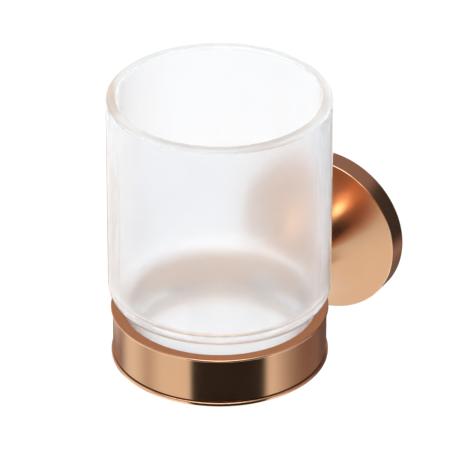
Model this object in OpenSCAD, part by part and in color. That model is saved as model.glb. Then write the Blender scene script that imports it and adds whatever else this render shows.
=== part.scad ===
// Wall-mounted toothbrush tumbler holder: a glass tumbler in a copper ring, on a flared arm.
// Origin: on the wall plane, at the centre of the round wall rose. +Y points into the wall.

/* [Tumbler] */
// Outside radius of the glass
glass_r = 35; // [33:0.5:38]
// Thickness of the glass wall
glass_wall = 3.4; // [2.5:0.1:4]
// Height of the rim above the middle of the ring
rim_z = 83.2; // [60:0.5:110]
// Height of the body's underside above the middle of the ring
body_z = 12.3; // [10:0.1:20]
// Thickness of the glass floor
floor_t = 5.1; // [3:0.1:7]
// Outside radius of the foot that stands in the ring
foot_r = 29.6; // [28:0.1:30]
// Thickness of the foot's wall
foot_wall = 2; // [1.6:0.1:4]

/* [Ring] */
// Outside radius of the ring's band
band_r = 33.7; // [33:0.1:36]
// Radius of the ring's bore
bore_r = 30.5; // [30.3:0.1:31]
// Height of the whole ring
ring_h = 17; // [14:0.5:24]
// Radius of the rolled lips at the top and the bottom
lip_r = 34.3; // [34:0.1:37]
// Height of the seat above the bottom of the ring
seat_h = 2.4; // [2:0.1:4]
// Radius of the opening in the seat
seat_r = 26.8; // [24:0.1:27]

/* [Arm and rose] */
// Distance from the wall to the axis of the tumbler
reach = 73.5; // [65:0.5:90]
// Radius of the rose
rose_r = 27; // [25:0.5:30]
// Depth of the rose's straight rim
rose_depth = 7.2; // [6:0.1:10]
// Radius of the arm at its thinnest
neck_r = 7.2; // [6.5:0.1:9]
// Distance from the tumbler's axis to where the arm starts to flare
flare_start = 35.5; // [34.5:0.5:40]

/* [Wall bracket] */
// Outside radius of the bracket
bracket_r = 23.6; // [20:0.1:23.7]
// Thickness of the bracket's plate
bracket_t = 2.5; // [2:0.1:4]
// Distance between the two wall screws
hole_spacing = 30; // [20:1:34]
// Radius of the wall screws' holes
hole_r = 2.25; // [1.75:0.05:2.75]

/* [Hidden] */
$fn = 96;
gap = 0.02;               // clearance between pieces of one rigid body
past = 1;                 // how far a cutter runs past the face that it cuts
ring_top = ring_h / 2;
ring_bottom = -ring_h / 2;
seat_z = ring_bottom + seat_h;
pad_t = 0.8;              // thickness of the seat pad
pad_edge = 0.3;           // distance from the pad's edges to the seat's edges
foot_z = seat_z + pad_t + gap;
shoulder_z = body_z + glass_wall;
inner_r = glass_r - glass_wall;
lip_t = 1.4;              // thickness of the bottom lip
groove_t = 0.35;          // height of the shadow groove above the bottom lip
screw_y = -reach + bore_r;
rim_wall = 3;             // thickness of the rose's rim
grub_y = -4;              // the grub screw's distance in front of the wall
grub_r = 2;               // M4 grub screw
grub_len = 5;
grub_z = -rose_r + 0.3;   // outer end of the grub screw
screw_r = 2.5;            // M5 screw between the ring and the arm
screw_len = 16;
head_r = 4.6;
head_sink = 0.3;          // depth of the screw's face below the bore
pin_r = 0.75;
pin_len = 5;
pin_z = 5.5;              // distance of each locating pin from the screw's axis
pin_sink = 0.8;           // depth of the pins' ends below the bore
hole_spare = 0.2;         // extra length at the end of a blind hole

// Cuts a convex corner of a profile to a quarter round. dir points out of the corner.
module corner_cut(corner, dir, r) {
  slack = 0.2;
  centre = corner - r * dir;
  difference() {
    translate([min(centre[0], corner[0] + slack * dir[0]), min(centre[1], corner[1] + slack * dir[1])])
      square(r + slack);
    translate(centre) circle(r = r);
  }
}

// Turns a profile (radius, height) about the tumbler's axis.
module about_tumbler() {
  translate([0, -reach, 0]) rotate_extrude($fn = 128) children();
}

// Turns a profile (radius, depth) about the arm's axis, with depth running away from the wall.
module about_arm() {
  rotate([90, 0, 0]) rotate_extrude($fn = 128) children();
}

// Inside of the glass: the bore, an S-shaped shoulder and the narrower bore of the foot
module tumbler_cavity() {
  foot_bore_r = foot_r - foot_wall;
  round_r = (inner_r - foot_bore_r) / 2;
  floor_z = foot_z + floor_t;
  floor_corner_r = 4.8;
  difference() {
    translate([-past, shoulder_z]) square([inner_r + past, rim_z]);
    corner_cut([inner_r, shoulder_z], [1, -1], round_r);
  }
  difference() {
    translate([-past, floor_z]) square([foot_bore_r + past, shoulder_z - floor_z + gap]);
    corner_cut([foot_bore_r, floor_z], [1, -1], floor_corner_r);
  }
  // Round over the inner edge of the shoulder
  difference() {
    translate([foot_bore_r - past, shoulder_z - round_r]) square([round_r + past, round_r + gap]);
    translate([foot_bore_r + round_r, shoulder_z - round_r]) circle(r = round_r);
  }
}

module tumbler() {
  body_corner_r = 5;
  rim_outer_r = 1.3;
  rim_inner_r = 0.6;
  foot_corner_r = 1.5;
  color([0.94, 0.94, 0.95, 0.5])
    about_tumbler()
      difference() {
        translate([0, foot_z]) square([glass_r, rim_z - foot_z]);
        // Room round the foot, under the body
        translate([foot_r, foot_z - past]) square([glass_r, body_z - foot_z + past]);
        corner_cut([glass_r, body_z], [1, -1], body_corner_r);
        corner_cut([glass_r, rim_z], [1, 1], rim_outer_r);
        corner_cut([inner_r, rim_z], [-1, 1], rim_inner_r);
        tumbler_cavity();
        corner_cut([foot_r, foot_z], [1, -1], foot_corner_r);
      }
}

module seat_pad() {
  pad_z = seat_z + gap / 2;
  inner_round = 0.4;
  color([0.92, 0.92, 0.92, 0.7])
    about_tumbler()
      difference() {
        translate([seat_r + pad_edge, pad_z]) square([bore_r - seat_r - 2 * pad_edge, pad_t]);
        corner_cut([seat_r + pad_edge, pad_z + pad_t], [-1, 1], inner_round);
      }
}

// Screw and pin holes through the band and into the arm, along the arm's axis
module joint_holes() {
  translate([0, screw_y, 0]) rotate([-90, 0, 0]) {
    translate([0, 0, -past]) cylinder(r = screw_r + gap, h = past + head_sink + screw_len + hole_spare);
    for (side = [-1, 1])
      translate([0, side * pin_z, pin_sink - hole_spare])
        cylinder(r = pin_r + gap, h = pin_len + 2 * hole_spare, $fn = 32);
  }
}

// Outside of a countersunk head, its flat face on the plane y = 0
module screw_head(extra) {
  rotate([-90, 0, 0])
    cylinder(r1 = head_r + extra, r2 = screw_r + extra, h = head_r - screw_r);
}

module ring_band() {
  lip_top_t = 0.7;
  lip_round = 0.35;
  lip_under_round = 0.3;
  recess = 1.7;             // length of the plain recess in front of the screw's head
  color([0.72, 0.45, 0.32])
    difference() {
      about_tumbler()
        difference() {
          union() {
            translate([bore_r, ring_bottom + lip_t + groove_t])
              square([band_r - bore_r, ring_h - lip_t - groove_t]);
            translate([bore_r, ring_top - lip_top_t]) square([lip_r - bore_r, lip_top_t]);
          }
          corner_cut([lip_r, ring_top], [1, 1], lip_round);
          corner_cut([lip_r, ring_top - lip_top_t], [1, -1], lip_under_round);
          corner_cut([bore_r, ring_top], [-1, 1], lip_round);
        }
      joint_holes();
      translate([0, screw_y + head_sink - gap, 0]) screw_head(gap);
      translate([0, screw_y + head_sink - recess, 0]) rotate([-90, 0, 0]) cylinder(r = head_r + gap, h = recess);
    }
}

module base_ring() {
  groove_in = 0.9;          // depth of the shadow groove
  overlap = 1;
  lip_under_round = 0.6;
  edge_round = 0.5;
  color([0.68, 0.42, 0.3])
    about_tumbler()
      difference() {
        union() {
          translate([seat_r, ring_bottom]) square([bore_r - gap - seat_r, seat_h]);
          translate([bore_r - overlap, ring_bottom]) {
            square([lip_r - bore_r + overlap, lip_t]);
            square([band_r - groove_in - bore_r + overlap, lip_t + groove_t - gap]);
          }
        }
        corner_cut([lip_r, ring_bottom], [1, -1], lip_under_round);
        corner_cut([lip_r, ring_bottom + lip_t], [1, 1], edge_round);
        corner_cut([seat_r, seat_z], [-1, 1], edge_round);
        corner_cut([seat_r, ring_bottom], [-1, -1], edge_round);
      }
}

module ring_screw() {
  hex_r = 1.75;
  hex_depth = 1.6;
  color([0.6, 0.6, 0.62])
    translate([0, screw_y + head_sink, 0])
      difference() {
        union() {
          screw_head(0);
          rotate([-90, 0, 0]) cylinder(r = screw_r, h = screw_len);
        }
        translate([0, -past, 0]) rotate([-90, 0, 0]) cylinder(r = hex_r, h = hex_depth + past, $fn = 6);
      }
}

module locating_pin(side) {
  color([0.62, 0.62, 0.64])
    translate([0, screw_y + pin_sink, side * pin_z])
      rotate([-90, 0, 0]) cylinder(r = pin_r, h = pin_len, $fn = 32);
}

module locating_pin_upper() {
  locating_pin(1);
}

module locating_pin_lower() {
  locating_pin(-1);
}

module flared_arm() {
  edge = 0.4;
  shelf_depth = rose_depth - 0.2;         // depth of the wide hollow round the bracket
  hollow_r = 17;
  hollow_depth = 11;
  grub_gap = 0.05;
  face_y = rose_depth;                    // front edge of the rim, measured from the wall
  neck_y = reach - flare_start;           // where the flare starts
  rise = rose_r - edge - neck_r;
  run = neck_y - face_y;
  flare_r = (run * run + rise * rise) / (2 * rise);
  color([0.72, 0.45, 0.32])
    difference() {
      about_arm()
        difference() {
          union() {
            square([rose_r, rose_depth]);
            difference() {
              square([rose_r - edge, neck_y]);
              translate([neck_r + flare_r, neck_y]) circle(r = flare_r, $fn = 256);
            }
            square([neck_r, reach - bore_r]);
          }
          corner_cut([rose_r, rose_depth], [1, 1], edge);
          // Hollow that takes the wall bracket
          translate([-past, -past]) {
            square([rose_r - rim_wall + past, shelf_depth + past]);
            square([hollow_r + past, hollow_depth + past]);
          }
        }
      // Saddle that sits against the band
      translate([0, -reach, 0]) cylinder(r = band_r + gap, h = 4 * neck_r, center = true, $fn = 128);
      joint_holes();
      // Threaded hole for the grub screw
      translate([0, grub_y, -rose_r - past]) cylinder(r = grub_r + grub_gap, h = rim_wall + 2 * past);
    }
}

module wall_bracket() {
  rim_h = rose_depth - 0.7;               // a little short of the hollow's end
  rim_t = 2.2;
  rim_round = 0.5;
  tip_gap = 0.15;
  color([0.7, 0.7, 0.72])
    difference() {
      about_arm()
        difference() {
          square([bracket_r, rim_h]);
          translate([-past, bracket_t]) square([bracket_r - rim_t + past, rose_depth]);
          corner_cut([bracket_r, rim_h], [1, 1], rim_round);
        }
      for (side = [-1, 1])
        translate([side * hole_spacing / 2, past, 0])
          rotate([90, 0, 0]) cylinder(r = hole_r, h = bracket_t + 2 * past);
      // Seat for the tip of the grub screw
      translate([0, grub_y, -bracket_r - past]) cylinder(r = grub_r + tip_gap, h = rim_t + 2 * past);
    }
}

module grub_screw() {
  hex_r = 1.15;
  hex_depth = 2;
  tip_r = 1.4;
  tip_len = 0.8;
  color([0.5, 0.5, 0.52])
    translate([0, grub_y, grub_z])
      difference() {
        union() {
          cylinder(r = grub_r, h = grub_len - tip_len);
          translate([0, 0, grub_len - tip_len]) cylinder(r1 = grub_r, r2 = tip_r, h = tip_len);
        }
        translate([0, 0, -past]) cylinder(r = hex_r, h = hex_depth + past, $fn = 6);
      }
}

tumbler();
seat_pad();
ring_band();
base_ring();
ring_screw();
locating_pin_upper();
locating_pin_lower();
flared_arm();
wall_bracket();
grub_screw();
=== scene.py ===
import math
import bmesh
import bpy
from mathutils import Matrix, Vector


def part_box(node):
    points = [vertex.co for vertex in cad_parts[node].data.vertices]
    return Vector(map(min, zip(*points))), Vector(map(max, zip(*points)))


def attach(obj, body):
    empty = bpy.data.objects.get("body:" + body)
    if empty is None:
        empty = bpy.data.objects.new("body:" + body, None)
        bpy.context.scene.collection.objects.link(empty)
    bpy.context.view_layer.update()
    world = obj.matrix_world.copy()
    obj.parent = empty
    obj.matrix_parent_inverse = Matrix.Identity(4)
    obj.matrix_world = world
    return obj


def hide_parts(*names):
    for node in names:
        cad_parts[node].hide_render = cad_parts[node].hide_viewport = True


# Toothbrush tumbler holder: a glass tumbler in a brushed copper ring, on a flared arm with a round rose.
# The row frame is in metres, +Y points into the wall and +Z up. Sizes in the dictionaries are in millimetres.

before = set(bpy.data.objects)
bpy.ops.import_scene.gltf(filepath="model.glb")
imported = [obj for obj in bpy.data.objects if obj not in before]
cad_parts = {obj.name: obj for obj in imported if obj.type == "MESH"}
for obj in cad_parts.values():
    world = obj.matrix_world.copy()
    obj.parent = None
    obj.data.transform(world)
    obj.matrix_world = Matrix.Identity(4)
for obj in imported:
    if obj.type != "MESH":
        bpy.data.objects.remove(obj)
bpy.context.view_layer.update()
bpy.ops.object.select_all(action="DESELECT")
print("frame loaded:", ", ".join(sorted(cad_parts)))

mm = 0.001
weldDistance = 0.002  # vertices that are closer than this become one
up = Vector((0, 0, 1))
outward = Vector((0, -1, 0))  # from the wall to the room


def span(node, side):
    low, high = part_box(node)
    return round(low[side] / mm, 2), round(high[side] / mm, 2)


glassX = span("tumbler", 0)
glassY = span("tumbler", 1)
glassZ = span("tumbler", 2)
bandZ = span("ring_band", 2)
baseZ = span("base_ring", 2)
armZ = span("flared_arm", 2)
glassRadius = round((glassX[1] - glassX[0]) / 2, 1)
reach = -round((glassY[0] + glassY[1]) / 2, 1)
roseRadius = round(armZ[1], 1)
grubDepth = -sum(span("grub_screw", 1)) / 2
glassCentre = Vector((0, -reach, 0)) * mm
armCentre = Vector((0, 0, 0))
grubCentre = outward * grubDepth * mm


# Shaping: a round piece starts as a circle and is extruded and scaled ring by ring.

def editMode(on):
    bpy.ops.object.mode_set(mode="EDIT" if on else "OBJECT")


def makeActive(piece):
    bpy.ops.object.select_all(action="DESELECT")
    piece.select_set(True)
    bpy.context.view_layer.objects.active = piece


def turnPiece(name, centre, axis, outline, steps=160):
    # outline holds (radius, height along the axis)
    radius, height = outline[0]
    alongZ = abs(axis.z) > 0.5
    bpy.ops.object.select_all(action="DESELECT")
    bpy.ops.mesh.primitive_circle_add(
        vertices=steps, radius=radius * mm, location=centre + axis * height * mm,
        rotation=(0, 0, 0) if alongZ else (math.pi / 2, 0, 0))
    piece = bpy.context.object
    piece.name = name
    piece.data.name = name
    bpy.ops.object.transform_apply(location=True, rotation=True, scale=True)
    editMode(True)
    bpy.ops.mesh.select_all(action="SELECT")
    for nextRadius, nextHeight in outline[1:]:
        grow = nextRadius / radius
        bpy.ops.mesh.extrude_region_move(
            TRANSFORM_OT_translate={"value": axis * (nextHeight - height) * mm})
        bpy.ops.transform.resize(
            value=(grow, grow, 1) if alongZ else (grow, 1, grow),
            center_override=centre + axis * nextHeight * mm)
        radius, height = nextRadius, nextHeight
    bpy.ops.mesh.select_all(action="SELECT")
    bpy.ops.mesh.remove_doubles(threshold=weldDistance * mm)
    bpy.ops.mesh.select_all(action="DESELECT")
    editMode(False)
    return piece


def selectRing(piece, centre, axis, radius, height):
    # selects the edges that lie all round the axis at this radius and height
    bpy.ops.mesh.select_mode(type="EDGE")
    bpy.ops.mesh.select_all(action="DESELECT")
    mesh = bmesh.from_edit_mesh(piece.data)
    slack = 0.01  # how far off a vertex may be

    def onRing(vert):
        away = vert.co - centre
        rise = away.dot(axis)
        out = (away - axis * rise).length
        return abs(rise / mm - height) < slack and abs(out / mm - radius) < slack

    for edge in mesh.edges:
        if onRing(edge.verts[0]) and onRing(edge.verts[1]):
            edge.select_set(True)
    bmesh.update_edit_mesh(piece.data)


def roundRing(piece, centre, axis, radius, height, size, segments=5):
    editMode(True)
    selectRing(piece, centre, axis, radius, height)
    bpy.ops.mesh.bevel(offset=size * mm, segments=segments, profile=0.5, affect="EDGES")
    editMode(False)


def capRing(piece, centre, axis, radius, height):
    # closes an open ring with a fan of faces to its middle
    editMode(True)
    selectRing(piece, centre, axis, radius, height)
    bpy.ops.mesh.extrude_region_move(TRANSFORM_OT_translate={"value": (0, 0, 0)})
    bpy.ops.mesh.merge(type="CENTER")
    editMode(False)


def cutAway(piece, cutter, mode="DIFFERENCE"):
    makeActive(piece)
    cut = piece.modifiers.new("cut", "BOOLEAN")
    cut.operation = mode
    cut.solver = "EXACT"
    cut.object = cutter
    bpy.ops.object.modifier_apply(modifier=cut.name)
    bpy.data.objects.remove(cutter)


def rod(centre, axis, radius, start, end, steps=48, endRadius=None):
    # a plain round bar or cone, only ever used to cut or to be joined
    middle = centre + axis * (start + end) / 2 * mm
    bpy.ops.object.select_all(action="DESELECT")
    bpy.ops.mesh.primitive_cone_add(
        vertices=steps, radius1=radius * mm, radius2=(radius if endRadius is None else endRadius) * mm,
        depth=abs(end - start) * mm, location=middle)
    bar = bpy.context.object
    bar.rotation_mode = "QUATERNION"
    bar.rotation_quaternion = axis.to_track_quat("Z", "Y")
    bpy.ops.object.transform_apply(location=True, rotation=True, scale=True)
    return bar


def smoothPiece(piece, angle=35):
    makeActive(piece)
    editMode(True)
    bpy.ops.mesh.select_all(action="SELECT")
    bpy.ops.mesh.remove_doubles(threshold=weldDistance * mm)
    bpy.ops.mesh.normals_make_consistent(inside=False)
    editMode(False)
    bpy.ops.object.shade_smooth_by_angle(angle=math.radians(angle))
    weighted = piece.modifiers.new("weighted", "WEIGHTED_NORMAL")
    weighted.keep_sharp = True
    bpy.ops.object.modifier_apply(modifier=weighted.name)


def placePiece(piece, node, body, material):
    piece.data.materials.clear()
    piece.data.materials.append(material)
    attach(piece, body)
    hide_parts(node)


# Shader helpers, then the groups that are built once and get their own values in every material.

def newNode(tree, kind, x, y, **settings):
    made = tree.nodes.new(kind)
    made.location = (x, y)
    for key, value in settings.items():
        setattr(made, key, value)
    return made


def mathNode(tree, operation, x, y, first, second=None):
    made = newNode(tree, "ShaderNodeMath", x, y, operation=operation)
    for socket, value in zip(made.inputs, (first, second)):
        if value is None:
            continue
        if isinstance(value, (int, float)):
            socket.default_value = value
        else:
            tree.links.new(value, socket)
    return made.outputs[0]


def vectorNode(tree, operation, x, y, first, second=None):
    made = newNode(tree, "ShaderNodeVectorMath", x, y, operation=operation)
    for socket, value in zip(made.inputs, (first, second)):
        if value is None:
            continue
        if isinstance(value, (tuple, Vector)):
            socket.default_value = value
        else:
            tree.links.new(value, socket)
    return made


def noiseNode(tree, place, x, y, scale, detail=2.0):
    made = newNode(tree, "ShaderNodeTexNoise", x, y)
    made.inputs["Scale"].default_value = scale
    made.inputs["Detail"].default_value = detail
    tree.links.new(place, made.inputs["Vector"])
    return made


def addSockets(group, inputs, outputs):
    for name, kind, value in inputs:
        socket = group.interface.new_socket(name=name, in_out="INPUT", socket_type=kind)
        if value is not None:
            socket.default_value = value
    for name, kind in outputs:
        group.interface.new_socket(name=name, in_out="OUTPUT", socket_type=kind)


brushPattern = {"lineDetail": 3.0, "lineContrast": 0.6, "broadStretch": 0.22, "broadDetail": 2.0,
                "blotchScale": 90.0, "blotchDetail": 4.0}


def buildTurnedBrush():
    # fine lines that run round an axis, as an abrasive belt leaves on a turned piece
    sizes = brushPattern
    group = bpy.data.node_groups.new("turnedBrush", "ShaderNodeTree")
    addSockets(
        group,
        [("Position", "NodeSocketVector", None), ("Centre", "NodeSocketVector", (0, 0, 0)),
         ("Axis", "NodeSocketVector", (0, 0, 1)), ("Lines per mm", "NodeSocketFloat", 5.0),
         ("Arc", "NodeSocketFloat", 1.5)],
        [("Lines", "NodeSocketFloat"), ("Broad", "NodeSocketFloat"), ("Blotches", "NodeSocketFloat")])
    given = newNode(group, "NodeGroupInput", -1400, 0)
    away = vectorNode(group, "SUBTRACT", -1200, 0, given.outputs["Position"], given.outputs["Centre"])
    rise = vectorNode(group, "DOT_PRODUCT", -1000, -150, away.outputs[0], given.outputs["Axis"])
    alongAxis = vectorNode(group, "SCALE", -820, -150, given.outputs["Axis"])
    group.links.new(rise.outputs["Value"], alongAxis.inputs["Scale"])
    radial = vectorNode(group, "SUBTRACT", -640, 0, away.outputs[0], alongAxis.outputs[0])
    radius = vectorNode(group, "LENGTH", -460, -150, radial.outputs[0])
    around = vectorNode(group, "NORMALIZE", -460, 50, radial.outputs[0])
    swept = vectorNode(group, "SCALE", -280, 50, around.outputs[0])
    group.links.new(given.outputs["Arc"], swept.inputs["Scale"])
    profile = mathNode(group, "ADD", -280, -150, rise.outputs["Value"], radius.outputs["Value"])
    perMetre = mathNode(group, "MULTIPLY", -280, -320, given.outputs["Lines per mm"], 1 / mm)
    across = mathNode(group, "MULTIPLY", -100, -150, profile, perMetre)
    acrossAxis = vectorNode(group, "SCALE", 60, -100, given.outputs["Axis"])
    group.links.new(across, acrossAxis.inputs["Scale"])
    lineSpot = vectorNode(group, "ADD", 220, 0, swept.outputs[0], acrossAxis.outputs[0])
    lines = noiseNode(group, lineSpot.outputs[0], 400, 100, 1.0, sizes["lineDetail"])
    lines.inputs["Roughness"].default_value = sizes["lineContrast"]
    broadAxis = vectorNode(group, "SCALE", 60, -300, acrossAxis.outputs[0])
    broadAxis.inputs["Scale"].default_value = sizes["broadStretch"]
    broadSpot = vectorNode(group, "ADD", 220, -250, swept.outputs[0], broadAxis.outputs[0])
    broad = noiseNode(group, broadSpot.outputs[0], 400, -150, 1.0, sizes["broadDetail"])
    blotches = noiseNode(group, given.outputs["Position"], 400, -400, sizes["blotchScale"],
                         sizes["blotchDetail"])
    result = newNode(group, "NodeGroupOutput", 650, 0)
    group.links.new(lines.outputs["Fac"], result.inputs["Lines"])
    group.links.new(broad.outputs["Fac"], result.inputs["Broad"])
    group.links.new(blotches.outputs["Fac"], result.inputs["Blotches"])
    return group


maskSpeckle = {"speckScale": 900.0, "speckDetail": 3.0}


def buildOuterRadiusMask():
    # a soft mask that is 1 beyond a distance from an axis, with a speckled edge; the copper uses it to lay
    # its painted highlight on the lip edges and the rose's rim, the glass to tell its clear outside from its
    # etched bore
    group = bpy.data.node_groups.new("outerRadiusMask", "ShaderNodeTree")
    addSockets(
        group,
        [("Position", "NodeSocketVector", None), ("Centre", "NodeSocketVector", (0, 0, 0)),
         ("Across axis", "NodeSocketVector", (1, 1, 0)), ("Radius", "NodeSocketFloat", 0.03),
         ("Softness", "NodeSocketFloat", 0.0004)],
        [("Mask", "NodeSocketFloat")])
    given = newNode(group, "NodeGroupInput", -900, 0)
    away = vectorNode(group, "SUBTRACT", -700, 0, given.outputs["Position"], given.outputs["Centre"])
    flat = vectorNode(group, "MULTIPLY", -520, 0, away.outputs[0], given.outputs["Across axis"])
    radius = vectorNode(group, "LENGTH", -340, 0, flat.outputs[0])
    speck = noiseNode(group, given.outputs["Position"], -700, -250, maskSpeckle["speckScale"],
                      maskSpeckle["speckDetail"])
    uneven = mathNode(group, "MULTIPLY", -500, -250, speck.outputs["Fac"], given.outputs["Softness"])
    speckledEdge = mathNode(group, "ADD", -160, -50, radius.outputs["Value"], uneven)
    beyond = mathNode(group, "SUBTRACT", 0, -50, speckledEdge, given.outputs["Radius"])
    ramp = mathNode(group, "DIVIDE", 160, -50, beyond, given.outputs["Softness"])
    mask = newNode(group, "ShaderNodeClamp", 320, -50)
    group.links.new(ramp, mask.inputs["Value"])
    result = newNode(group, "NodeGroupOutput", 500, 0)
    group.links.new(mask.outputs[0], result.inputs["Mask"])
    return group


turnedBrush = buildTurnedBrush()
outerRadiusMask = buildOuterRadiusMask()


def startMaterial(name):
    material = bpy.data.materials.new(name)
    material.use_nodes = True
    tree = material.node_tree
    shader = tree.nodes["Principled BSDF"]
    spot = newNode(tree, "ShaderNodeTexCoord", -1300, 0)
    return material, tree, shader, spot.outputs["Object"]


def setValues(shader, **values):
    for key, value in values.items():
        shader.inputs[key].default_value = value


def groupNode(tree, group, x, y, **values):
    made = newNode(tree, "ShaderNodeGroup", x, y, node_tree=group)
    for key, value in values.items():
        made.inputs[key.replace("_", " ")].default_value = value
    return made


def spread(tree, value, low, high, x, y):
    # turns a 0 to 1 value into low to high
    made = newNode(tree, "ShaderNodeMapRange", x, y)
    tree.links.new(value, made.inputs["Value"])
    made.inputs["To Min"].default_value = low
    made.inputs["To Max"].default_value = high
    return made.outputs["Result"]


def mixColours(tree, factor, first, second, x, y):
    made = newNode(tree, "ShaderNodeMix", x, y, data_type="RGBA")
    tree.links.new(factor, made.inputs["Factor"])
    for socket, value in ((made.inputs[6], first), (made.inputs[7], second)):
        if isinstance(value, tuple):
            socket.default_value = (*value, 1)
        else:
            tree.links.new(value, socket)
    return made.outputs[2]


def mixShaders(tree, factor, first, second):
    # goes to the output as the first shader where the factor is 0 and the second where it is 1
    mix = newNode(tree, "ShaderNodeMixShader", 450, 0)
    tree.links.new(factor, mix.inputs[0])
    tree.links.new(first.outputs[0], mix.inputs[1])
    tree.links.new(second.outputs[0], mix.inputs[2])
    output = next(node for node in tree.nodes if node.type.startswith("OUTPUT"))
    tree.links.new(mix.outputs[0], output.inputs[0])


def addBump(tree, shader, height, strength, distance):
    bump = newNode(tree, "ShaderNodeBump", -250, -450)
    bump.inputs["Strength"].default_value = strength
    bump.inputs["Distance"].default_value = distance
    tree.links.new(height, bump.inputs["Height"])
    tree.links.new(bump.outputs["Normal"], shader.inputs["Normal"])


copperFinish = {
    "light": (0.62, 0.385, 0.23),
    "dark": (0.58, 0.345, 0.2),
    # painted highlight: paler copper for the outermost lip edges and the rose's rim
    "speckledEdge": (0.8, 0.55, 0.38),
    "roughness": 0.185,
    "lineRoughness": 0.06,
    "anisotropy": 0.55,
    "linesPerMm": 5.0,
    "lineDepth": 0.025,
    "toneSpread": (0.1, 0.9),
    "blotchSpread": (-0.35, 0.6),
    "smear": 0.06,
    "polish": 0.05,
    "edgeSoftness": 0.25,
}
bumpHeight = 0.02  # of every fine brush or grain pattern


def brushedCopper(name, centre, axis, edgeRadius):
    # axis is what the piece was turned about, so the brush lines run round it
    sizes = copperFinish
    material, tree, shader, place = startMaterial(name)
    acrossAxis = Vector([1 - abs(part) for part in axis])
    brush = groupNode(tree, turnedBrush, -1000, 100, Centre=centre, Axis=axis,
                      Lines_per_mm=sizes["linesPerMm"])
    tree.links.new(place, brush.inputs["Position"])
    highlightAndPolishMask = groupNode(tree, outerRadiusMask, -1000, -250, Centre=centre, Across_axis=acrossAxis,
                     Radius=edgeRadius * mm, Softness=sizes["edgeSoftness"] * mm)
    tree.links.new(place, highlightAndPolishMask.inputs["Position"])
    tint = mixColours(tree, spread(tree, brush.outputs["Broad"], *sizes["toneSpread"], -760, 300),
                      sizes["dark"], sizes["light"], -560, 300)
    patchy = mixColours(tree, spread(tree, brush.outputs["Blotches"], *sizes["blotchSpread"], -760, 80),
                        tint, sizes["light"], -380, 250)
    # painted highlight: the mask lays paler copper on the lips' outer edges and the rose's rim, and the same
    # mask makes them smoother
    colour = mixColours(tree, highlightAndPolishMask.outputs["Mask"], patchy, sizes["speckledEdge"], -200, 250)
    tree.links.new(colour, shader.inputs["Base Color"])
    low = sizes["roughness"] - sizes["lineRoughness"] / 2
    grain = spread(tree, brush.outputs["Lines"], low, low + sizes["lineRoughness"], -560, -50)
    smear = mathNode(tree, "MULTIPLY", -380, -50, brush.outputs["Blotches"], sizes["smear"])
    rough = mathNode(tree, "ADD", -220, -50, grain, smear)
    polished = mathNode(tree, "MULTIPLY", -220, -200, highlightAndPolishMask.outputs["Mask"], sizes["polish"])
    tree.links.new(mathNode(tree, "SUBTRACT", -80, -80, rough, polished), shader.inputs["Roughness"])
    setValues(shader, Metallic=1.0, Anisotropic=sizes["anisotropy"])
    # highlights stretch along the profile, at right angles to the brush lines
    away = vectorNode(tree, "SUBTRACT", -760, -650, place, tuple(centre))
    flat = vectorNode(tree, "MULTIPLY", -600, -650, away.outputs[0], tuple(acrossAxis))
    radial = vectorNode(tree, "NORMALIZE", -440, -650, flat.outputs[0])
    along = vectorNode(tree, "SUBTRACT", -280, -650, radial.outputs[0], tuple(axis))
    tree.links.new(along.outputs[0], shader.inputs["Tangent"])
    addBump(tree, shader, brush.outputs["Lines"], sizes["lineDepth"], bumpHeight * mm)
    return material


glassFinish = {
    "colour": (0.862, 0.88, 0.908),
    "rimColour": (0.8, 0.865, 0.9),
    "clearRoughness": 0.015,
    "etchedRoughness": 0.24,
    "rimRoughness": 0.5,
    "refraction": 1.42,
    "milkiness": 0.09,
    "boreMargin": 0.35,
    "boreSoftness": 0.1,
    "floorMargin": 0.4,
    "rimDepth": 0.9,
    "satinScale": 2500.0,
    "satinSpread": 0.02,
    "cloudScale": 60.0,
    "cloudTone": 0.99,
    "lastBounce": 6.5,
}


def mirrorRays(tree, path):
    # 1 for a reflection that travels in air, 0 for one inside the glass wall and for every other ray
    mirrored = mathNode(tree, "SUBTRACT", -450, -650, path.outputs["Is Glossy Ray"],
                        path.outputs["Is Transmission Ray"])
    walls = mathNode(tree, "MODULO", -450, -800, path.outputs["Transmission Depth"], 2.0)
    inAir = mathNode(tree, "LESS_THAN", -280, -800, walls, 0.5)
    return mathNode(tree, "MULTIPLY", -120, -700, mirrored, inAir)


def letThrough(tree, shader):
    # light and mirror rays from the copper pass straight on, and so do rays that keep bouncing in the wall
    path = newNode(tree, "ShaderNodeLightPath", -700, -700)
    fromMetal = mirrorRays(tree, path)
    trapped = mathNode(tree, "GREATER_THAN", -450, -950, path.outputs["Glossy Depth"], 1.5)
    late = mathNode(tree, "GREATER_THAN", -450, -1100, path.outputs["Ray Depth"], glassFinish["lastBounce"])
    either = mathNode(tree, "MAXIMUM", -120, -950, trapped, late)
    straight = mathNode(tree, "MAXIMUM", 40, -800, fromMetal, either)
    passing = mathNode(tree, "MAXIMUM", 200, -700, straight, path.outputs["Is Shadow Ray"])
    clear = newNode(tree, "ShaderNodeBsdfTransparent", 200, -450)
    mixShaders(tree, passing, shader, clear)


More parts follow.
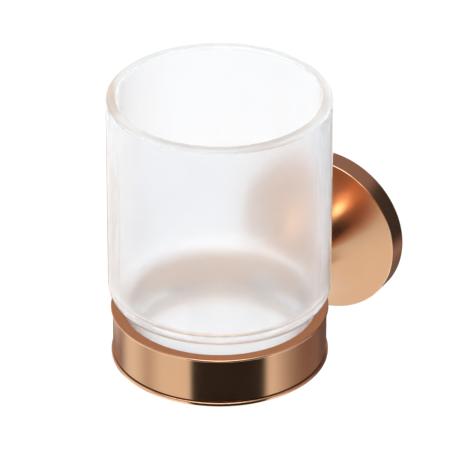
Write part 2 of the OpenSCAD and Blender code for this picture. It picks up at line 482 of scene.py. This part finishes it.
def etchedGlass(name, innerRadius, floorHeight, rimHeight):
    # clear outside, satin etched inside and on the ground rim
    sizes = glassFinish
    material, tree, shader, place = startMaterial(name)
    inside = groupNode(tree, outerRadiusMask, -1000, 0, Centre=glassCentre, Across_axis=(1, 1, 0),
                       Radius=(innerRadius + sizes["boreMargin"]) * mm,
                       Softness=sizes["boreSoftness"] * mm)
    tree.links.new(place, inside.inputs["Position"])
    parts = newNode(tree, "ShaderNodeSeparateXYZ", -1000, -300)
    tree.links.new(place, parts.inputs[0])
    aboveFloor = mathNode(tree, "GREATER_THAN", -800, -300, parts.outputs["Z"],
                          (floorHeight - sizes["floorMargin"]) * mm)
    ground = mathNode(tree, "GREATER_THAN", -800, -450, parts.outputs["Z"],
                      (rimHeight - sizes["rimDepth"]) * mm)
    outside = mathNode(tree, "SUBTRACT", -800, -100, 1.0, inside.outputs["Mask"])
    bore = mathNode(tree, "MULTIPLY", -600, -300, aboveFloor, outside)
    etched = mathNode(tree, "MAXIMUM", -420, -200, bore, ground)
    grain = noiseNode(tree, place, -1000, 350, sizes["satinScale"])
    satin = spread(tree, grain.outputs["Fac"], sizes["etchedRoughness"] - sizes["satinSpread"],
                   sizes["etchedRoughness"] + sizes["satinSpread"], -600, 200)
    step = mathNode(tree, "SUBTRACT", -400, 150, satin, sizes["clearRoughness"])
    extra = mathNode(tree, "MULTIPLY", -240, 50, step, etched)
    coarser = mathNode(tree, "MULTIPLY", -400, -450, ground, sizes["rimRoughness"] - sizes["etchedRoughness"])
    base = mathNode(tree, "ADD", -240, -150, coarser, sizes["clearRoughness"])
    tree.links.new(mathNode(tree, "ADD", -90, 50, extra, base), shader.inputs["Roughness"])
    clouds = noiseNode(tree, place, -1000, 600, sizes["cloudScale"])
    deeper = tuple(part * sizes["cloudTone"] for part in sizes["colour"])
    body = mixColours(tree, clouds.outputs["Fac"], sizes["colour"], deeper, -500, 450)
    tree.links.new(mixColours(tree, ground, body, sizes["rimColour"], -300, 450), shader.inputs["Base Color"])
    setValues(shader, IOR=sizes["refraction"])
    shader.inputs["Transmission Weight"].default_value = 1.0 - sizes["milkiness"]
    letThrough(tree, shader)
    return material


plasticFinish = {"light": (0.93, 0.93, 0.92), "dark": (0.86, 0.86, 0.85), "roughness": (0.3, 0.5),
                 "grainScale": 700.0, "grainDepth": 0.15, "clearness": 0.75, "refraction": 1.45}


def clearPlastic(name):
    sizes = plasticFinish
    material, tree, shader, place = startMaterial(name)
    grain = noiseNode(tree, place, -900, 100, sizes["grainScale"], detail=3.0).outputs["Fac"]
    tree.links.new(spread(tree, grain, *sizes["roughness"], -600, 0), shader.inputs["Roughness"])
    tree.links.new(mixColours(tree, grain, sizes["light"], sizes["dark"], -500, 250),
                   shader.inputs["Base Color"])
    setValues(shader, IOR=sizes["refraction"])
    shader.inputs["Transmission Weight"].default_value = sizes["clearness"]
    addBump(tree, shader, grain, sizes["grainDepth"], bumpHeight * mm)
    return material


steelFinish = {"linesPerMm": 7.0, "lineDepth": 0.15, "darkShare": 0.8, "smoother": 0.06, "rougher": 0.1,
               "bright": {"colour": (0.62, 0.62, 0.63), "roughness": 0.26},
               "blackened": {"colour": (0.42, 0.42, 0.44), "roughness": 0.32}}


def machinedSteel(name, centre, axis, kind):
    sizes = steelFinish
    colour = sizes[kind]["colour"]
    roughness = sizes[kind]["roughness"]
    material, tree, shader, place = startMaterial(name)
    brush = groupNode(tree, turnedBrush, -1000, 100, Centre=centre, Axis=axis,
                      Lines_per_mm=sizes["linesPerMm"])
    tree.links.new(place, brush.inputs["Position"])
    darker = tuple(part * sizes["darkShare"] for part in colour)
    tree.links.new(mixColours(tree, brush.outputs["Broad"], darker, colour, -500, 250),
                   shader.inputs["Base Color"])
    tree.links.new(spread(tree, brush.outputs["Lines"], roughness - sizes["smoother"],
                          roughness + sizes["rougher"], -500, 0), shader.inputs["Roughness"])
    setValues(shader, Metallic=1.0)
    addBump(tree, shader, brush.outputs["Lines"], sizes["lineDepth"], bumpHeight * mm)
    return material


zincFinish = {"light": (0.66, 0.67, 0.69), "dark": (0.46, 0.47, 0.49), "roughness": (0.34, 0.56),
              "flowScale": 120.0, "flowSwirl": 0.8, "skinScale": 1400.0, "skinDepth": 0.25,
              "skinHeight": 0.03}


def castZinc(name):
    # dull die casting with a fine orange-peel skin
    sizes = zincFinish
    material, tree, shader, place = startMaterial(name)
    skin = noiseNode(tree, place, -900, 0, sizes["skinScale"], detail=4.0)
    flow = noiseNode(tree, place, -900, 300, sizes["flowScale"], detail=5.0)
    flow.inputs["Distortion"].default_value = sizes["flowSwirl"]
    tree.links.new(mixColours(tree, flow.outputs["Fac"], sizes["dark"], sizes["light"], -500, 300),
                   shader.inputs["Base Color"])
    tree.links.new(spread(tree, flow.outputs["Fac"], *sizes["roughness"], -500, 50),
                   shader.inputs["Roughness"])
    setValues(shader, Metallic=1.0)
    addBump(tree, shader, skin.outputs["Fac"], sizes["skinDepth"], sizes["skinHeight"] * mm)
    return material


# The camera looks from the front right and well above. Its height and side step are in the view's plane.

cameraSetup = {"azimuth": 29.3, "elevation": 30.49, "distance": 1445.7, "lens": 365.2,
               "aside": 1.68, "above": 39.25, "sensor": 36, "clipStart": 50, "clipEnd": 50000}


def makeCamera():
    sizes = cameraSetup
    turn = math.radians(sizes["azimuth"])
    tilt = math.radians(sizes["elevation"])
    back = Vector((math.sin(turn) * math.cos(tilt), -math.cos(turn) * math.cos(tilt), math.sin(tilt)))
    right = Vector((math.cos(turn), math.sin(turn), 0))
    over = back.cross(right)
    ringFoot = glassCentre + up * baseZ[0] * mm
    camera = bpy.data.cameras.new("camera")
    holder = bpy.data.objects.new("camera", camera)
    bpy.context.scene.collection.objects.link(holder)
    camera.sensor_width = sizes["sensor"]
    camera.lens = sizes["lens"]
    camera.clip_start = sizes["clipStart"] * mm
    camera.clip_end = sizes["clipEnd"] * mm
    step = back * sizes["distance"] + right * sizes["aside"] + over * sizes["above"]
    holder.location = ringFoot + step * mm
    holder.rotation_mode = "QUATERNION"
    holder.rotation_quaternion = (-back).to_track_quat("-Z", "Y")
    bpy.context.scene.camera = holder
    return back, right


cameraBack, cameraRight = makeCamera()
print("camera placed")


# The tumbler: clear outside, etched inside, with a narrower foot that stands in the ring.

tumblerSizes = {
    "wall": 3.4, "footRadius": 29.6, "footWall": 2.0, "underside": 12.3, "floor": 5.1,
    "bodyCorner": 5.0, "rimOuter": 1.3, "rimInner": 0.6, "floorCorner": 4.8, "footCorner": 1.5,
    "neckCorner": 0.3, "hub": 12,
}


def makeTumbler():
    sizes = tumblerSizes
    bottom, top = glassZ
    bore = glassRadius - sizes["wall"]
    footBore = sizes["footRadius"] - sizes["footWall"]
    shoulder = sizes["underside"] + sizes["wall"]
    floor = bottom + sizes["floor"]
    hub = sizes["hub"]
    outline = [
        (hub, bottom), (sizes["footRadius"], bottom), (sizes["footRadius"], sizes["underside"]),
        (glassRadius, sizes["underside"]), (glassRadius, top), (bore, top), (bore, shoulder),
        (footBore, shoulder), (footBore, floor), (hub, floor)]
    glass = turnPiece("glass_tumbler", glassCentre, up, outline, 192)
    shoulderRound = (bore - footBore) / 2 - 0.02  # two of these make the S-shaped shoulder
    rounds = [
        (sizes["footRadius"], bottom, sizes["footCorner"], 6),
        (sizes["footRadius"], sizes["underside"], sizes["neckCorner"], 3),
        (glassRadius, sizes["underside"], sizes["bodyCorner"], 14),
        (glassRadius, top, sizes["rimOuter"], 8),
        (bore, top, sizes["rimInner"], 5),
        (bore, shoulder, shoulderRound, 8),
        (footBore, shoulder, shoulderRound, 8),
        (footBore, floor, sizes["floorCorner"], 12)]
    for radius, height, size, segments in rounds:
        roundRing(glass, glassCentre, up, radius, height, size, segments)
    capRing(glass, glassCentre, up, hub, bottom)
    capRing(glass, glassCentre, up, hub, floor)
    smoothPiece(glass, 50)
    material = etchedGlass("etched_glass", bore, floor, top)
    placePiece(glass, "tumbler", "tumbler", material)


makeTumbler()
print("tumbler made")


# The ring: a band, a base ring pressed into it from below, and the pad that the glass stands on.

ringSizes = {"band": 33.7, "bore": 30.5, "lip": 34.3, "topLip": 0.7, "bottomLip": 1.4,
             "seat": 26.8, "groove": 32.8, "gap": 0.02, "padMargin": 0.3, "padCorner": 0.3}


def makeRingBand(material):
    sizes = ringSizes
    bottom, top = bandZ
    lipFoot = top - sizes["topLip"]
    outline = [
        (sizes["bore"], bottom), (sizes["band"], bottom), (sizes["band"], lipFoot), (sizes["lip"], lipFoot),
        (sizes["lip"], top), (sizes["bore"], top), (sizes["bore"], bottom)]
    band = turnPiece("copper_ring_band", glassCentre, up, outline, 192)
    rounds = [
        (sizes["band"], bottom, 0.12, 3), (sizes["band"], lipFoot, 0.2, 4), (sizes["lip"], lipFoot, 0.3, 4),
        (sizes["lip"], top, 0.34, 5), (sizes["bore"], top, 0.35, 5), (sizes["bore"], bottom, 0.12, 3)]
    for radius, height, size, segments in rounds:
        roundRing(band, glassCentre, up, radius, height, size, segments)
    cutScrewSeat(band)
    smoothPiece(band)
    placePiece(band, "ring_band", "root", material)


def cutScrewSeat(band):
    # countersink and clearance hole for the screw that holds the ring on the arm
    face = -span("ring_screw", 1)[0]
    head = span("ring_screw", 0)[1]
    shank = screwSizes["shank"]
    through = 6  # well past the band's wall
    cutAway(band, rod(armCentre, outward, shank + ringSizes["gap"], face - through, face + 1))
    cutAway(band, rod(armCentre, outward, shank, face - (head - shank), face, endRadius=head))
    cutAway(band, rod(armCentre, outward, head, face - 0.001, face + 1.5))


def makeBaseRing(material):
    sizes = ringSizes
    bottom, seat = baseZ
    lipTop = bottom + sizes["bottomLip"]
    grooveTop = bandZ[0] - sizes["gap"]
    collar = sizes["bore"] - sizes["gap"]
    outline = [
        (sizes["seat"], bottom), (sizes["lip"], bottom), (sizes["lip"], lipTop), (sizes["groove"], lipTop),
        (sizes["groove"], grooveTop), (collar, grooveTop), (collar, seat), (sizes["seat"], seat),
        (sizes["seat"], bottom)]
    ring = turnPiece("copper_base_ring", glassCentre, up, outline, 192)
    rounds = [
        (sizes["lip"], bottom, 0.6, 6), (sizes["lip"], lipTop, 0.5, 6), (sizes["seat"], seat, 0.5, 5),
        (sizes["seat"], bottom, 0.5, 5)]
    for radius, height, size, segments in rounds:
        roundRing(ring, glassCentre, up, radius, height, size, segments)
    smoothPiece(ring)
    placePiece(ring, "base_ring", "root", material)


def makeSeatPad(material):
    sizes = ringSizes
    low, high = span("seat_pad", 2)
    outer = round(span("seat_pad", 0)[1], 1)
    inner = sizes["seat"] + sizes["padMargin"]
    outline = [(inner, low), (outer, low), (outer, high), (inner, high), (inner, low)]
    pad = turnPiece("seat_pad_ring", glassCentre, up, outline, 160)
    for radius, height in ((inner, high), (outer, high)):
        roundRing(pad, glassCentre, up, radius, height, sizes["padCorner"], 4)
    smoothPiece(pad)
    placePiece(pad, "seat_pad", "root", material)


# The arm: one casting from the saddle at the ring to the rose at the wall.

armSizes = {"neck": 7.2, "rimDepth": 7.2, "rimEdge": 0.4, "flareStart": 35.5, "hollow": 24.0,
            "hollowDepth": 7.0, "core": 17.0, "coreDepth": 11.0, "flareSteps": 40,
            "backCorner": 0.2, "hollowCorner": 0.3, "coreCorner": 0.8, "gap": 0.02, "grubGap": 0.05}


def flareOutline():
    # a quarter-like arc that leaves the neck along the axis and meets the rim of the rose
    sizes = armSizes
    depth = reach - sizes["flareStart"]
    rise = roseRadius - sizes["rimEdge"] - sizes["neck"]
    run = depth - sizes["rimDepth"]
    bend = (run * run + rise * rise) / (2 * rise)
    sweep = math.acos(1 - rise / bend)
    points = []
    for step in range(sizes["flareSteps"] + 1):
        angle = sweep * (1 - step / sizes["flareSteps"])
        points.append((sizes["neck"] + bend * (1 - math.cos(angle)), depth - bend * math.sin(angle)))
    return points


def makeArm(material):
    sizes = armSizes
    end = reach - ringSizes["bore"]
    outline = [
        (sizes["core"], sizes["coreDepth"]), (sizes["core"], sizes["hollowDepth"]),
        (sizes["hollow"], sizes["hollowDepth"]), (sizes["hollow"], 0), (roseRadius, 0),
        (roseRadius, sizes["rimDepth"] - sizes["rimEdge"])]
    for step in (30, 60):
        angle = math.radians(step)
        outline.append((roseRadius - sizes["rimEdge"] * (1 - math.cos(angle)),
                        sizes["rimDepth"] - sizes["rimEdge"] * (1 - math.sin(angle))))
    outline += flareOutline()
    outline.append((sizes["neck"], end))
    arm = turnPiece("copper_flared_arm", armCentre, outward, outline, 176)
    rounds = [(roseRadius, 0, sizes["backCorner"], 3), (sizes["hollow"], 0, sizes["hollowCorner"], 3),
              (sizes["core"], sizes["hollowDepth"], sizes["coreCorner"], 4)]
    for radius, depth, size, segments in rounds:
        roundRing(arm, armCentre, outward, radius, depth, size, segments)
    capRing(arm, armCentre, outward, sizes["core"], sizes["coreDepth"])
    capRing(arm, armCentre, outward, sizes["neck"], end)
    taller = 20  # than the arm, above and below
    cutAway(arm, rod(glassCentre, up, ringSizes["band"] + sizes["gap"], -taller, taller, 192))
    cutAway(arm, rod(grubCentre, up, screwSizes["grub"] + sizes["grubGap"], -roseRadius - 1,
                     -sizes["hollow"] + 1, 32))
    smoothPiece(arm)
    placePiece(arm, "flared_arm", "root", material)


# The bracket behind the rose, with the recess in its back and the bosses of the two screw holes.

bracketSizes = {"radius": 23.6, "rim": 2.2, "depth": 6.5, "plate": 2.5, "holeSpacing": 30.0, "hole": 2.25,
                "recessInner": 6.0, "recessOuter": 20.4, "recess": 0.7, "recessSlope": 0.5, "hub": 3,
                "boss": 4.6, "bossSlope": 0.4, "bossDrop": 0.5, "sink": 4.2, "sinkDepth": 2.0,
                "sinkInset": 0.2, "grubGap": 0.15}


def makeBracket(material):
    sizes = bracketSizes
    inner = sizes["radius"] - sizes["rim"]
    plate = sizes["plate"]
    hub = sizes["hub"]
    outline = [
        (hub, 0), (sizes["recessInner"], 0),
        (sizes["recessInner"] + sizes["recessSlope"], sizes["recess"]),
        (sizes["recessOuter"] - sizes["recessSlope"], sizes["recess"]),
        (sizes["recessOuter"], 0), (sizes["radius"], 0), (sizes["radius"], sizes["depth"]),
        (inner, sizes["depth"]), (inner, plate), (hub, plate)]
    bracket = turnPiece("zinc_wall_bracket", armCentre, outward, outline, 128)
    rounds = [(sizes["radius"], 0, 0.4, 3), (sizes["radius"], sizes["depth"], 0.5, 4),
              (inner, sizes["depth"], 0.5, 4), (inner, plate, 0.8, 4)]
    for radius, depth, size, segments in rounds:
        roundRing(bracket, armCentre, outward, radius, depth, size, segments)
    capRing(bracket, armCentre, outward, hub, 0)
    capRing(bracket, armCentre, outward, hub, plate)
    for side in (-1, 1):
        hole = Vector((side * sizes["holeSpacing"] / 2, 0, 0)) * mm
        boss = rod(hole, outward, sizes["boss"], 0, plate - sizes["bossDrop"], 40,
                   sizes["boss"] - sizes["bossSlope"])
        cutAway(bracket, boss, "UNION")
        cutAway(bracket, rod(hole, outward, sizes["hole"], -1, plate + 1, 40))
        cutAway(bracket, rod(hole, outward, sizes["hole"] - sizes["sinkInset"], plate - sizes["sinkDepth"],
                             plate + 0.05, 40, sizes["sink"]))
    cutAway(bracket, rod(grubCentre, up, screwSizes["grub"] + sizes["grubGap"], -sizes["radius"] - 1,
                         -inner + 0.8, 32))
    smoothPiece(bracket)
    placePiece(bracket, "wall_bracket", "root", material)


# Screws and dowels. Threads are plain ridges, and each screw has a hexagon socket.

screwSizes = {"shank": 2.5, "pitch": 0.8, "thread": 0.4, "socket": 1.75, "socketDepth": 1.6,
              "grub": 2.0, "grubPitch": 0.7, "grubThread": 0.32, "grubSocket": 1.15, "grubTip": 1.4,
              "grubSocketDepth": 2.0, "gap": 0.02, "hub": 1, "grubHub": 0.5, "dowelHub": 0.2}


def threadOutline(crest, depth, pitch, start, end):
    # a row of V-shaped ridges
    points = []
    height = start
    while height + pitch <= end:
        points += [(crest - depth, height + 0.1 * pitch), (crest, height + 0.5 * pitch),
                   (crest, height + 0.6 * pitch)]
        height += pitch
    points.append((crest - depth, height))
    return points


def cutSocket(screw, centre, axis, size, depth):
    cutAway(screw, rod(centre, axis, size, -0.5, depth, 6))
    cutAway(screw, rod(centre, axis, size + 0.3, -0.02, 0.3, 32, size - 0.05))


def makeRingScrew(material):
    sizes = screwSizes
    start, end = span("ring_screw", 1)
    length = end - start
    head = span("ring_screw", 0)[1]
    seat = head - sizes["shank"]
    hub = sizes["hub"]
    centre = Vector((0, start, 0)) * mm
    inward = -outward
    shank = sizes["shank"] - sizes["gap"]
    outline = [(hub, 0), (head - 0.1, 0), (head - sizes["gap"], 0.08), (shank, seat), (shank, seat + 1.2)]
    outline += threadOutline(shank, sizes["thread"], sizes["pitch"], seat + 1.4, length - 0.8)
    outline += [(sizes["shank"] - 0.6, length), (hub, length)]
    screw = turnPiece("steel_ring_screw", centre, inward, outline, 64)
    capRing(screw, centre, inward, hub, 0)
    capRing(screw, centre, inward, hub, length)
    cutSocket(screw, centre, inward, sizes["socket"], sizes["socketDepth"])
    smoothPiece(screw, 30)
    placePiece(screw, "ring_screw", "root", material)


def makeGrubScrew(material):
    sizes = screwSizes
    low, high = span("grub_screw", 2)
    length = high - low
    hub = sizes["grubHub"]
    centre = grubCentre + up * low * mm
    crest = sizes["grub"] - sizes["gap"]
    outline = [(hub, 0), (sizes["grub"] - 0.35, 0), (crest, 0.3)]
    outline += threadOutline(crest, sizes["grubThread"], sizes["grubPitch"], 0.35, length - 0.8)
    outline += [(sizes["grubTip"], length - 0.15), (sizes["grubTip"] - 0.3, length), (hub, length)]
    screw = turnPiece("steel_grub_screw", centre, up, outline, 48)
    capRing(screw, centre, up, hub, 0)
    capRing(screw, centre, up, hub, length)
    cutSocket(screw, centre, up, sizes["grubSocket"], sizes["grubSocketDepth"])
    smoothPiece(screw, 30)
    placePiece(screw, "grub_screw", "grub_screw", material)


def makeDowel(node, material):
    start, end = span(node, 1)
    low, high = span(node, 2)
    radius = (high - low) / 2
    length = end - start
    hub = screwSizes["dowelHub"]
    centre = Vector((0, start, (low + high) / 2)) * mm
    outline = [(hub, 0), (radius - 0.15, 0), (radius, 0.2), (radius, length - 0.2), (radius - 0.15, length),
               (hub, length)]
    dowel = turnPiece("steel_" + node, centre, -outward, outline, 32)
    capRing(dowel, centre, -outward, hub, 0)
    capRing(dowel, centre, -outward, hub, length)
    smoothPiece(dowel, 30)
    placePiece(dowel, node, "root", material)


# the last number of each is the radius past which the painted highlight colour lies on the lips and the
# rose's rim
ringCopper = brushedCopper("brushed_copper_ring", glassCentre, up, ringSizes["band"] + 0.35)
armCopper = brushedCopper("brushed_copper_arm", armCentre, outward, roseRadius - 0.2)
makeRingBand(ringCopper)
makeBaseRing(ringCopper)
makeSeatPad(clearPlastic("seat_plastic"))
print("ring made")
makeArm(armCopper)
print("arm made")
makeBracket(castZinc("zinc_casting"))
steelAlongArm = machinedSteel("steel_along_arm", armCentre, outward, "bright")
makeRingScrew(steelAlongArm)
makeDowel("locating_pin_upper", steelAlongArm)
makeDowel("locating_pin_lower", steelAlongArm)
makeGrubScrew(machinedSteel("steel_grub", grubCentre, up, "blackened"))
print("bracket, screws and dowels made")


# The stage: pale floor, soft studio light, and cards that only reflections see.

stageSizes = {
    "floorDrop": 260, "floorSide": 9000, "floorColour": 0.9, "floorRoughness": 0.7,
    "roomLight": 1.1, "aimHeight": 30, "sight": 5000,
    # what the metal sees above the horizon, from level to straight up
    "roomTones": ((0.0, (0.75, 0.55, 0.44)), (0.06, (0.6, 0.33, 0.23)), (0.15, (0.38, 0.14, 0.09)),
                  (0.32, (0.34, 0.11, 0.05)), (0.6, (0.46, 0.18, 0.1)), (0.85, (0.8, 0.66, 0.52)),
                  (1.0, (1.0, 0.92, 0.82))),
    # what metal behind the glass sees instead, so that it glows softly through the etched wall
    "behindGlass": (1.15, 0.98, 0.8),
}


def makeFloor():
    sizes = stageSizes
    bpy.ops.object.select_all(action="DESELECT")
    bpy.ops.mesh.primitive_plane_add(size=sizes["floorSide"] * mm,
                                     location=(0, 0, -sizes["floorDrop"] * mm))
    floor = bpy.context.object
    floor.name = "floor"
    material = bpy.data.materials.new("pale_floor")
    material.use_nodes = True
    tree = material.node_tree
    shader = tree.nodes["Principled BSDF"]
    tone = sizes["floorColour"]
    setValues(shader, Roughness=sizes["floorRoughness"])
    shader.inputs["Base Color"].default_value = (tone, tone, tone, 1)
    clear = newNode(tree, "ShaderNodeBsdfTransparent", 0, -400)
    side = newNode(tree, "ShaderNodeNewGeometry", 0, 300)
    mixShaders(tree, side.outputs["Backfacing"], shader, clear)  # seen from below, the floor is not there
    floor.data.materials.append(material)


def makeWorld():
    # white for the eye and for soft light, warmer and darker in what the metal and glass reflect
    world = bpy.data.worlds.new("studio")
    bpy.context.scene.world = world
    world.use_nodes = True
    tree = world.node_tree
    room = tree.nodes["Background"]
    room.inputs["Color"].default_value = (1, 1, 1, 1)
    room.inputs["Strength"].default_value = stageSizes["roomLight"]
    gloss = newNode(tree, "ShaderNodeBackground", 0, -200)
    way = newNode(tree, "ShaderNodeTexCoord", -900, -200)
    parts = newNode(tree, "ShaderNodeSeparateXYZ", -700, -200)
    tree.links.new(way.outputs["Generated"], parts.inputs[0])
    tones = newNode(tree, "ShaderNodeValToRGB", -500, -200)
    ramp = tones.color_ramp
    for place, colour in stageSizes["roomTones"][1:-1]:
        ramp.elements.new(place)
    for element, (place, colour) in zip(ramp.elements, stageSizes["roomTones"]):
        element.position = place
        element.color = (*colour, 1)
    tree.links.new(parts.outputs["Z"], tones.inputs["Fac"])
    path = newNode(tree, "ShaderNodeLightPath", -700, -700)
    behind = mathNode(tree, "GREATER_THAN", -400, -450, path.outputs["Transmission Depth"], 0.5)
    seen = mixColours(tree, behind, tones.outputs["Color"], stageSizes["behindGlass"], -200, -300)
    tree.links.new(seen, gloss.inputs["Color"])
    mixShaders(tree, mirrorRays(tree, path), room, gloss)


def aroundRing(turn, distance, height):
    # a place round the ring: turn is in degrees from the camera's side towards the right
    front = (cameraBack - up * cameraBack.z).normalized()
    way = front * math.cos(math.radians(turn)) + cameraRight * math.sin(math.radians(turn))
    return glassCentre + (way * distance + up * height) * mm


# Softboxes and cards stand at a turn round the ring and a distance from its axis. Heights are above the
# arm's axis, and brightness is how bright a softbox's face is, whatever its width.
softboxes = {
    "overhead_softbox": {"turn": 0, "distance": 60, "height": 900, "width": 500, "brightness": 2.6,
                         "colour": (1, 0.96, 0.88)},
    "left_softbox": {"turn": -75, "distance": 420, "height": 900, "width": 300, "brightness": 1.6,
                     "colour": (1, 0.93, 0.8)},
    "front_softbox": {"turn": 2, "distance": 760, "height": 680, "width": 240, "brightness": 3.2,
                      "colour": (1, 0.84, 0.56)},
    "low_softbox": {"turn": -9, "distance": 840, "height": 580, "width": 340, "brightness": 1.1,
                    "colour": (1, 0.46, 0.2)},
}


def makeLight(name, sizes):
    # a square softbox that faces the glass
    side = sizes["width"] * mm
    light = bpy.data.lights.new(name, "AREA")
    light.color = sizes["colour"]
    light.size = side
    light.energy = sizes["brightness"] * math.pi * side ** 2
    holder = bpy.data.objects.new(name, light)
    bpy.context.scene.collection.objects.link(holder)
    target = glassCentre + up * stageSizes["aimHeight"] * mm
    holder.location = aroundRing(sizes["turn"], sizes["distance"], sizes["height"])
    holder.rotation_mode = "QUATERNION"
    holder.rotation_quaternion = (target - holder.location).to_track_quat("-Z", "Y")


# soft is the share of the card's width or height over which its left, right, bottom and top edge fade in.
cards = {
    "ring_flag": {"turn": 8, "distance": 52, "width": 67, "bottom": -120, "top": 24,
                  "colour": (0.02, 0.015, 0.016), "soft": (0.08, 0.13, 0.3, 0.1), "sight": 50},
    "front_flag": {"turn": 38, "distance": 700, "width": 640, "bottom": 130, "top": 680,
                   "colour": (0.02, 0.01, 0.008), "soft": (0.25, 0.2, 0.2, 0.1)},
    "glow_card": {"turn": -18, "distance": 700, "width": 400, "bottom": 90, "top": 400,
                  "colour": (0.8, 0.26, 0.1), "soft": (0.35, 0.35, 0.3, 0.35)},
    "right_flag": {"turn": 105, "distance": 300, "width": 880, "bottom": -259, "top": -10,
                   "colour": (0.31, 0.19, 0.16), "soft": (0.5, 0.05, 0.02, 0.25)},
    "right_back_flag": {"turn": 165, "distance": 200, "width": 320, "bottom": -259, "top": -20,
                        "colour": (0.17, 0.11, 0.1), "soft": (0.15, 0.1, 0.02, 0.3)},
    "rose_flag": {"turn": 117, "distance": 219, "width": 170, "bottom": -95, "top": 125,
                  "colour": (0.04, 0.028, 0.025), "soft": (0.25, 0.25, 0.25, 0.2)},
    "upper_right_flag": {"turn": 130, "distance": 320, "width": 560, "bottom": -60, "top": 420,
                         "colour": (0.28, 0.17, 0.15), "soft": (0.15, 0.05, 0.3, 0.1)},
    "left_back_flag": {"turn": -146, "distance": 300, "width": 440, "bottom": -259, "top": -172,
                       "colour": (0.18, 0.03, 0), "soft": (0.1, 0.35, 0.02, 0.06)},
    "left_dip_flag": {"turn": -80, "distance": 300, "width": 200, "bottom": -259, "top": -60,
                      "colour": (0.76, 0.68, 0.62), "soft": (0.49, 0.49, 0.02, 0.3)},
    "left_card": {"turn": -105, "distance": 500, "width": 800, "bottom": -60, "top": 620,
                  "colour": (0.9, 0.8, 0.7), "soft": (0.2, 0.15, 0.2, 0.2)},
    "wall_card": {"turn": -153, "distance": 400, "width": 600, "bottom": -60, "top": 600,
                  "colour": (0.6, 0.39, 0.31), "soft": (0.05, 0.1, 0.1, 0.1)},
}


def fadeIn(tree, value, edge, soft, x, y):
    # 0 at one edge of a card and 1 after the soft share, edge is -0.5 or 0.5
    made = newNode(tree, "ShaderNodeMapRange", x, y, interpolation_type="SMOOTHSTEP")
    tree.links.new(value, made.inputs["Value"])
    made.inputs["From Min"].default_value = edge
    made.inputs["From Max"].default_value = edge - math.copysign(soft, edge)
    return made.outputs["Result"]


def cardShape(tree, soft):
    # 1 in the middle of the card, falling to 0 at its edges
    place = newNode(tree, "ShaderNodeTexCoord", -900, 0)
    parts = newNode(tree, "ShaderNodeSeparateXYZ", -700, 0)
    tree.links.new(place.outputs["Object"], parts.inputs[0])
    left, right, low, high = soft
    across = mathNode(tree, "MULTIPLY", -250, 200, fadeIn(tree, parts.outputs["X"], -0.5, right, -450, 300),
                      fadeIn(tree, parts.outputs["X"], 0.5, left, -450, 100))
    over = mathNode(tree, "MULTIPLY", -250, -200, fadeIn(tree, parts.outputs["Y"], -0.5, low, -450, -100),
                    fadeIn(tree, parts.outputs["Y"], 0.5, high, -450, -300))
    return mathNode(tree, "MULTIPLY", -50, 100, across, over)


def makeCard(name, sizes):
    # a glowing plane that shows only in reflections on what is seen directly, no further off than its sight
    bottom, top = sizes["bottom"], sizes["top"]
    bpy.ops.object.select_all(action="DESELECT")
    bpy.ops.mesh.primitive_plane_add(
        size=1, location=aroundRing(sizes["turn"], sizes["distance"], (bottom + top) / 2))
    card = bpy.context.object
    card.name = name
    card.scale = (sizes["width"] * mm, (top - bottom) * mm, 1)
    facing = glassCentre - card.location
    facing.z = 0
    card.rotation_mode = "QUATERNION"
    card.rotation_quaternion = facing.to_track_quat("Z", "Y")
    material = bpy.data.materials.new(name)
    material.use_nodes = True
    tree = material.node_tree
    shape = cardShape(tree, sizes["soft"])
    path = newNode(tree, "ShaderNodeLightPath", -700, -700)
    plain = mathNode(tree, "LESS_THAN", -50, -500, path.outputs["Transmission Depth"], 0.5)
    sight = sizes.get("sight", stageSizes["sight"])
    near = mathNode(tree, "LESS_THAN", -50, -650, path.outputs["Ray Length"], sight * mm)
    seen = mathNode(tree, "MULTIPLY", 100, -500, plain, near)
    solid = mathNode(tree, "MULTIPLY", 100, 0, shape, seen)
    glow = newNode(tree, "ShaderNodeEmission", 0, -200)
    glow.inputs["Color"].default_value = (*sizes["colour"], 1)
    clear = newNode(tree, "ShaderNodeBsdfTransparent", 0, -350)
    mixShaders(tree, solid, clear, glow)
    card.data.materials.append(material)
    card.visible_camera = False
    card.visible_diffuse = False
    card.visible_shadow = False
    card.visible_transmission = False


makeFloor()
makeWorld()
for name, sizes in softboxes.items():
    makeLight(name, sizes)
for name, sizes in cards.items():
    makeCard(name, sizes)
bpy.context.scene.view_settings.view_transform = "Standard"
print("stage lit")
